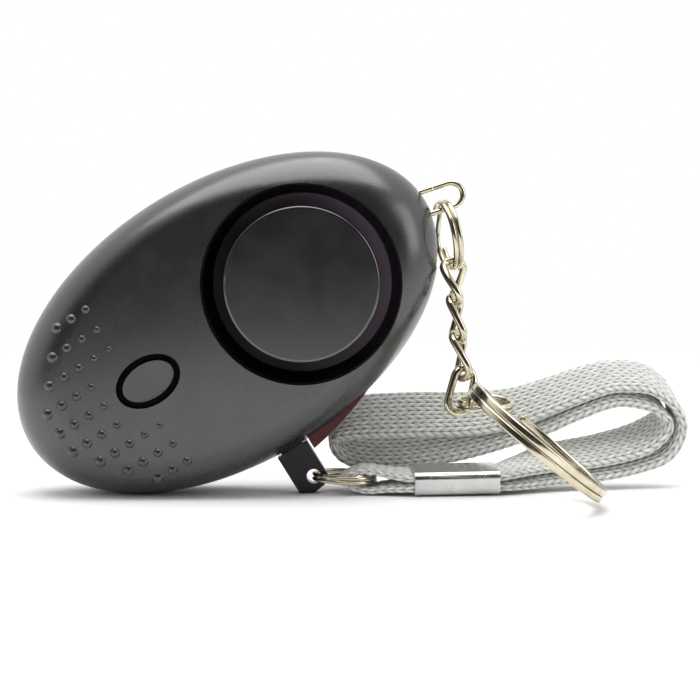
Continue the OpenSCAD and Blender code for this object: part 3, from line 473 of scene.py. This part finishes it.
class Paint:
    """A Principled material and the nodes that feed it."""

    def __init__(self, name, **sockets):
        self.mat = bpy.data.materials.new(name)
        self.mat.use_nodes = True
        self.nt = self.mat.node_tree
        self.bsdf = self.nt.nodes["Principled BSDF"]
        for k, v in sockets.items():
            self.bsdf.inputs[k.replace("_", " ")].default_value = v
        self.coord = self.nt.nodes.new("ShaderNodeTexCoord").outputs["Object"]

    def node(self, kind, **values):
        n = self.nt.nodes.new(kind)
        for k, v in values.items():
            setattr(n, k, v)
        return n

    def link(self, a, b):
        self.nt.links.new(a, b)

    def stretched(self, scale, rotation=(0, 0, 0)):
        m = self.node("ShaderNodeMapping")
        m.inputs["Scale"].default_value = scale
        m.inputs["Rotation"].default_value = rotation
        self.link(self.coord, m.inputs["Vector"])
        return m.outputs["Vector"]

    def noise(self, scale, detail=3.0, rough=0.55, vector=None):
        n = self.node("ShaderNodeTexNoise")
        n.inputs["Scale"].default_value = scale
        n.inputs["Detail"].default_value = detail
        n.inputs["Roughness"].default_value = rough
        self.link(vector or self.coord, n.inputs["Vector"])
        return n.outputs["Fac"]

    def attribute(self, name):
        return self.node("ShaderNodeAttribute", attribute_name=name).outputs["Fac"]

    def ramp(self, fac, stops):
        r = self.node("ShaderNodeValToRGB")
        while len(r.color_ramp.elements) < len(stops):
            r.color_ramp.elements.new(0.5)
        for e, (pos, rgb) in zip(r.color_ramp.elements, stops):
            e.position = pos
            e.color = linear(rgb)
        self.link(fac, r.inputs["Fac"])
        return r.outputs["Color"]

    def tones(self, fac, dark, light, start=0.25, end=0.75):
        return self.ramp(fac, [(start, dark), (end, light)])

    def spread(self, fac, low, high, start=0.3, end=0.7):
        r = self.node("ShaderNodeMapRange")
        for k, v in (("From Min", start), ("From Max", end), ("To Min", low), ("To Max", high)):
            r.inputs[k].default_value = v
        self.link(fac, r.inputs["Value"])
        return r.outputs["Result"]

    def depth(self, between):
        """From 0 to 1 between two distances in mm from the housing's middle plane."""
        place = self.node("ShaderNodeSeparateXYZ")
        self.link(self.coord, place.inputs[0])
        start, end = (at((0, -w, 0)).y for w in between)
        return self.spread(place.outputs["Y"], 0.0, 1.0, start, end)

    def mixed(self, fac, a, b, blend_type="MIX"):
        return mix(self.nt, fac, a, b, "RGBA", blend_type)

    def color(self, out):
        self.link(out, self.bsdf.inputs["Base Color"])

    def rough(self, out):
        self.link(out, self.bsdf.inputs["Roughness"])

    def bump(self, height, strength, distance):
        b = self.node("ShaderNodeBump")
        b.inputs["Strength"].default_value = strength
        b.inputs["Distance"].default_value = distance
        self.link(height, b.inputs["Height"])
        self.link(b.outputs["Normal"], self.bsdf.inputs["Normal"])

    def uneven(self, rough):
        """A moulding's gloss, which drifts over its surface."""
        return self.spread(self.noise(*GLOSS), *rough)

    def grain(self, strength):
        """A mould's fine spark-eroded grain."""
        self.bump(self.noise(*GRAIN), strength, GRAIN_DEPTH)


def moulded(name, dark, light, rough, grain=0.10, **sockets):
    """Moulded plastic: fine grain, faint cloudiness and uneven gloss."""
    p = Paint(name, **sockets)
    p.color(p.tones(p.noise(*CLOUD), dark, light))
    p.rough(p.uneven(rough))
    p.grain(grain)
    return p.mat


def shell(name, rough, grain):
    """The housing's plastic; the tops of the grip dots that stand above the flat face are polished and carry painted
    shade that makes them darker.
    """
    p = Paint(name, Specular_IOR_Level=1.0)
    dot = p.depth(DOT_TOP_W)
    cloud = p.noise(*CLOUD)
    face = p.tones(cloud, (30, 30, 33), (36, 36, 39))
    # Painted shade on the grip dots' tops
    dot_painted_shade = p.tones(cloud, (12, 12, 13), (17, 17, 18))
    p.color(p.mixed(dot, face, dot_painted_shade))
    p.rough(mix(p.nt, dot, p.uneven(rough), DOT_ROUGH))
    p.grain(grain)
    return p.mat


def recessed(name, face, recess_shade, between, rough, **sockets):
    """Moulded plastic of one colour near the face, with painted shade: a darker colour down in its recess."""
    p = Paint(name, **sockets)
    cloud = p.noise(*RECESS_CLOUD)
    near = p.tones(cloud, face, lighter(face, FACE_DRIFT))
    # Painted shade: the darker colour down in the recess
    far = p.tones(cloud, recess_shade, lighter(recess_shade, DEEP_DRIFT))
    p.color(p.mixed(p.depth(between), near, far))
    p.rough(p.uneven(rough))
    p.grain(0.10)
    return p.mat


def siren_cup():
    """Black plastic; on the side that the light reaches the flat floor is painted a dull plum, as painted light."""
    p = Paint("siren_cup_plastic", Specular_IOR_Level=0.25)
    along = p.node("ShaderNodeVectorMath", operation="DOT_PRODUCT")
    p.link(p.coord, along.inputs[0])
    along.inputs[1].default_value = CUP_LIT_SIDE
    middle = at(body_pt(SIREN_U, SIREN_V, 0)).dot(Vector(CUP_LIT_SIDE))
    start, end = (middle + span * MM for span in CUP_LIT_SPAN)
    # Painted light: the floor's side that the light reaches is painted plum, the rest stays black
    lit_floor = p.node("ShaderNodeMath", operation="MULTIPLY")
    p.link(p.spread(along.outputs["Value"], 0.0, 1.0, start, end), lit_floor.inputs[0])
    p.link(p.depth(CUP_FLOOR_W), lit_floor.inputs[1])
    cloud = p.noise(*RECESS_CLOUD)
    shade = p.tones(cloud, (7, 4, 7), (11, 7, 10))
    painted_light_plum = p.tones(cloud, (104, 91, 104), (112, 99, 112))
    p.color(p.mixed(lit_floor.outputs[0], shade, painted_light_plum))
    p.rough(p.uneven((0.36, 0.46)))
    p.grain(0.10)
    return p.mat


def metal(name, dark, light, rough, scratches=(1, 1, 1), scale=900, strength=0.05):
    """Plated or rolled metal: tone that drifts, uneven polish and fine scratches."""
    p = Paint(name, Metallic=1.0)
    p.color(p.tones(p.noise(*METAL_TONE), dark, light, 0.3, 0.7))
    p.rough(p.spread(p.noise(*METAL_GLOSS), *rough))
    p.bump(p.noise(scale, *SCRATCH_DETAIL, p.stretched(scratches)), strength, SCRATCH_DEPTH)
    return p.mat


def braid():
    """Polyester braid: painted shade in the valleys and painted light on the yarns' backs, each yarn a little
    different, with fine filaments.
    """
    p = Paint("braid", Sheen_Weight=0.25, Sheen_Roughness=0.5)
    braid_shade = p.ramp(p.attribute("braid"), BRAID_SHADE_TONES)
    yarn = p.tones(p.attribute("yarn"), (238, 238, 236), (255, 255, 254), 0.0, 1.0)
    p.color(p.mixed(1.0, braid_shade, yarn, "MULTIPLY"))
    fibre = p.noise(*FIBRE, p.stretched((0.45, 1, 1.3)))
    p.rough(p.spread(fibre, 0.72, 0.92))
    p.bump(fibre, 0.35, FIBRE_DEPTH)
    return p.mat


def board():
    """Green solder mask over copper, as bricks with paler joints."""
    p = Paint("board_mask")
    copper = p.node("ShaderNodeTexBrick", offset=0.37, squash=0.7)
    p.link(p.stretched((420, 420, 420), (0.4, 0.2, 0.56)), copper.inputs["Vector"])
    copper.inputs["Scale"].default_value = 1.0
    copper.inputs["Mortar Size"].default_value = 0.06
    for k, c in (("Color1", (18, 70, 40)), ("Color2", (22, 80, 46)), ("Mortar", (42, 112, 66))):
        copper.inputs[k].default_value = linear(c)
    p.color(copper.outputs["Color"])
    p.rough(p.spread(p.noise(*BOARD_GLOSS), 0.3, 0.45))
    p.bump(copper.outputs["Fac"], 0.15, COPPER_DEPTH)
    return p.mat


def banded(name, dark, light, direction, scale, metallic, rough):
    """Turns of wire or wraps of sleeve, as bands along one direction."""
    p = Paint(name, Metallic=metallic)
    wave = p.node("ShaderNodeTexWave", wave_type="BANDS", bands_direction=direction)
    wave.inputs["Scale"].default_value = scale
    wave.inputs["Distortion"].default_value = 0.6
    p.link(p.coord, wave.inputs["Vector"])
    p.color(p.tones(wave.outputs["Fac"], dark, light, 0.1, 0.6))
    p.rough(p.spread(p.noise(*WRAP_GLOSS), *rough))
    p.bump(wave.outputs["Fac"], 0.3, WRAP_DEPTH)
    return p.mat


MATERIALS = {
    "shell": shell("shell_plastic", (0.23, 0.31), 0.12),
    "door": shell("door_plastic", (0.25, 0.33), 0.14),
    "cup": siren_cup(),
    "disc": moulded("siren_disc_plastic", (19, 17, 20), (25, 23, 26), (0.15, 0.22), grain=0.08,
                    Specular_IOR_Level=1.0, IOR=1.6),
    # The button's near black down in its recess is painted shade.
    "button": recessed("button_rubber", (86, 85, 86), (2, 1, 2), BUTTON_SHADE_W, (0.40, 0.52),
                       Specular_IOR_Level=0.06),
    "pin": moulded("pin_plastic", (24, 17, 25), (31, 23, 33), (0.2, 0.3), grain=0.04,
                   Specular_IOR_Level=0.25),
    "torch": moulded("torch_insert", (58, 59, 61), (68, 69, 71), (0.22, 0.32), grain=0.05),
    "red": moulded("strobe_lens_red", (62, 8, 12), (78, 12, 16), (0.16, 0.26), grain=0.02,
                   Specular_IOR_Level=0.25),
    "nickel": metal("nickel_plate", (190, 180, 152), (216, 209, 190), (0.10, 0.22), (1, 1, 0.3)),
    "ferrule": metal("ferrule_metal", (196, 197, 197), (216, 216, 214), (0.16, 0.28), (0.08, 1, 1),
                     scale=2600, strength=0.12),
    "steel": metal("zinc_steel", (170, 172, 174), (200, 201, 202), (0.24, 0.4)),
    "contact": metal("contact_strip", (190, 170, 128), (214, 198, 160), (0.2, 0.34), (0.3, 1, 1)),
    "brass": metal("sounder_brass", (186, 152, 88), (208, 178, 116), (0.22, 0.36)),
    "braid": braid(),
    "board": board(),
    "chip": moulded("chip_epoxy", (24, 24, 26), (32, 32, 34), (0.5, 0.62)),
    "block": moulded("contact_block_plastic", (196, 192, 180), (210, 206, 196), (0.4, 0.52)),
    "switch": moulded("switch_body", (28, 28, 30), (38, 38, 40), (0.36, 0.48)),
    "ferrite": moulded("ferrite", (46, 44, 44), (58, 56, 55), (0.6, 0.75), grain=0.2),
    "copper": banded("enamelled_copper", (104, 48, 22), (188, 106, 58), "DIAGONAL", 1400, 1.0, (0.2, 0.32)),
    "sleeve": banded("capacitor_sleeve", (26, 30, 44), (36, 42, 60), "Y", 180, 0.0, (0.3, 0.42)),
    "cell": banded("cell_sleeve", (52, 92, 98), (66, 112, 116), "DIAGONAL", 60, 0.0, (0.28, 0.38)),
    "lamp": moulded("lamp_resin", (206, 210, 212), (224, 228, 230), (0.08, 0.16), grain=0.02),
}
FINISH = {
    "shell": ["front_shell", "rear_shell"],
    "door": ["battery_door"],
    "cup": ["siren_cup"],
    "disc": ["siren_disc"],
    "button": ["torch_button"],
    "pin": ["pull_pin"],
    "torch": ["torch_lens"],
    "red": ["strobe_lens"],
    "nickel": ["bail"],
    "ferrule": ["strap_ferrule"],
    "steel": ["door_screw", "case_screws", "board_screws", "cell_springs"],
    "contact": ["cell_bridge", "cell_plates", "fixed_contact", "moving_contact"],
    "brass": ["piezo_disc"],
    "board": ["circuit_board"],
    "chip": ["driver_chip"],
    "block": ["contact_block", "piezo_clamp", "switch_plunger"],
    "switch": ["tact_switch"],
    "ferrite": ["boost_core"],
    "copper": ["boost_winding"],
    "sleeve": ["capacitor"],
    "cell": ["cell_a", "cell_b"],
    "lamp": ["strobe_lamp", "torch_lamp"],
}


def finish_with(obj, mat):
    obj.data.materials.clear()
    obj.data.materials.append(mat)


for key, names in FINISH.items():
    for name in names:
        finish_with(NODES[name], MATERIALS[key])
for piece in chain.values():
    finish_with(piece, MATERIALS["nickel"])
finish_with(strap, MATERIALS["braid"])


# Stage and light, in metres

FLOOR_HALF = 0.42
FLOOR_FRONT = 0.38
FLOOR_FADE = (0.07, 0.36)  # from the middle, where the paper runs out into plain white
FLOOR_PAPER = (0.90, 0.90, 0.895, 1)
WHITE = (1, 1, 1, 1)
BEHIND_Y = (-0.7, 0.1)  # of a direction, from the viewer's side to behind
ABOVE_Z = (0.0, 0.9)  # of a direction, from level to above
FRONT_LIGHT = 0.16  # the world's strength on the viewer's side
BACK_LIGHT = (0.34, 0.85)  # and behind, level and above
FRONT_MIRRORED = 0.04  # what glossy surfaces show of the viewer's side
# Place, aim, size, watts, and whether glossy surfaces show the lamp
LAMPS = {
    "top_box": ((-0.02, 0.03, 0.62), (0, 0, 0.03), (0.7, 0.72), 4.6, True),
    "front_left": ((-0.60, -0.30, 0.34), (0, 0, 0.03), (0.8, 0.7), 2.6, False),
    "right_side": ((0.55, -0.20, 0.25), (0.03, 0, 0.03), (0.25, 0.4), 0.8, True),
}


def smooth_range(tree, value, between, low=0.0, high=1.0):
    r = tree.nodes.new("ShaderNodeMapRange")
    r.interpolation_type = "SMOOTHSTEP"
    for k, v in (("From Min", between[0]), ("From Max", between[1]), ("To Min", low), ("To Max", high)):
        r.inputs[k].default_value = v
    tree.links.new(value, r.inputs["Value"])
    return r.outputs["Result"]


def math_of(tree, operation, a, b):
    m = tree.nodes.new("ShaderNodeMath")
    m.operation, m.use_clamp = operation, True
    tree.links.new(a, m.inputs[0])
    tree.links.new(b, m.inputs[1])
    return m.outputs[0]


def add_floor():
    """Paper that keeps the shadow and, far from the object, shows as plain white."""
    corners = [(-FLOOR_HALF, -FLOOR_FRONT, 0), (FLOOR_HALF, -FLOOR_FRONT, 0),
               (FLOOR_HALF, FLOOR_HALF, 0), (-FLOOR_HALF, FLOOR_HALF, 0)]
    floor = add_mesh("floor", corners, [(0, 1, 2, 3)])
    mat = bpy.data.materials.new("floor_paper")
    mat.use_nodes = True
    nt = mat.node_tree
    nt.nodes.clear()
    new, link = nt.nodes.new, nt.links.new
    out, mix = new("ShaderNodeOutputMaterial"), new("ShaderNodeMixShader")
    paper, white = new("ShaderNodeBsdfDiffuse"), new("ShaderNodeEmission")
    paper.inputs["Color"].default_value = FLOOR_PAPER
    white.inputs["Color"].default_value = WHITE
    place, far, ray = new("ShaderNodeTexCoord"), new("ShaderNodeVectorMath"), new("ShaderNodeLightPath")
    far.operation = "LENGTH"
    link(place.outputs["Object"], far.inputs[0])
    fade = smooth_range(nt, far.outputs["Value"], FLOOR_FADE)
    seen = math_of(nt, "ADD", ray.outputs["Is Camera Ray"], ray.outputs["Is Glossy Ray"])
    shown = math_of(nt, "ADD", seen, ray.outputs["Is Transmission Ray"])
    link(math_of(nt, "MULTIPLY", fade, shown), mix.inputs[0])
    link(paper.outputs[0], mix.inputs[1])
    link(white.outputs[0], mix.inputs[2])
    link(mix.outputs[0], out.inputs["Surface"])
    floor.data.materials.append(mat)


def add_world():
    """White to the camera; to the surfaces, bright above and behind and dim towards the viewer."""
    world = bpy.data.worlds.new("studio")
    SCENE.world = world
    world.use_nodes = True
    nt = world.node_tree
    new, link = nt.nodes.new, nt.links.new
    back = nt.nodes["Background"]
    back.inputs["Color"].default_value = WHITE
    ray, place, axes = new("ShaderNodeLightPath"), new("ShaderNodeTexCoord"), new("ShaderNodeSeparateXYZ")
    link(place.outputs["Generated"], axes.inputs[0])
    behind = smooth_range(nt, axes.outputs["Y"], BEHIND_Y)
    lit = mix(nt, behind, FRONT_LIGHT, smooth_range(nt, axes.outputs["Z"], ABOVE_Z, *BACK_LIGHT))
    shown = mix(nt, behind, FRONT_MIRRORED, 1.0)
    mirrored = math_of(nt, "ADD", ray.outputs["Is Glossy Ray"], ray.outputs["Is Transmission Ray"])
    on_surfaces = mix(nt, mirrored, lit, shown)
    link(mix(nt, ray.outputs["Is Camera Ray"], on_surfaces, 1.0), back.inputs["Strength"])


def add_lamp(name, place, target, size, power, mirrored):
    light = bpy.data.lights.new(name, "AREA")
    light.shape = "RECTANGLE"
    light.size, light.size_y = size
    light.energy = power
    lamp = bpy.data.objects.new(name, light)
    SCENE.collection.objects.link(lamp)
    lamp.location = place
    lamp.visible_glossy = mirrored
    lamp.rotation_euler = (Vector(target) - Vector(place)).to_track_quat("-Z", "Y").to_euler()


add_floor()
add_world()
for name, values in LAMPS.items():
    add_lamp(name, *values)
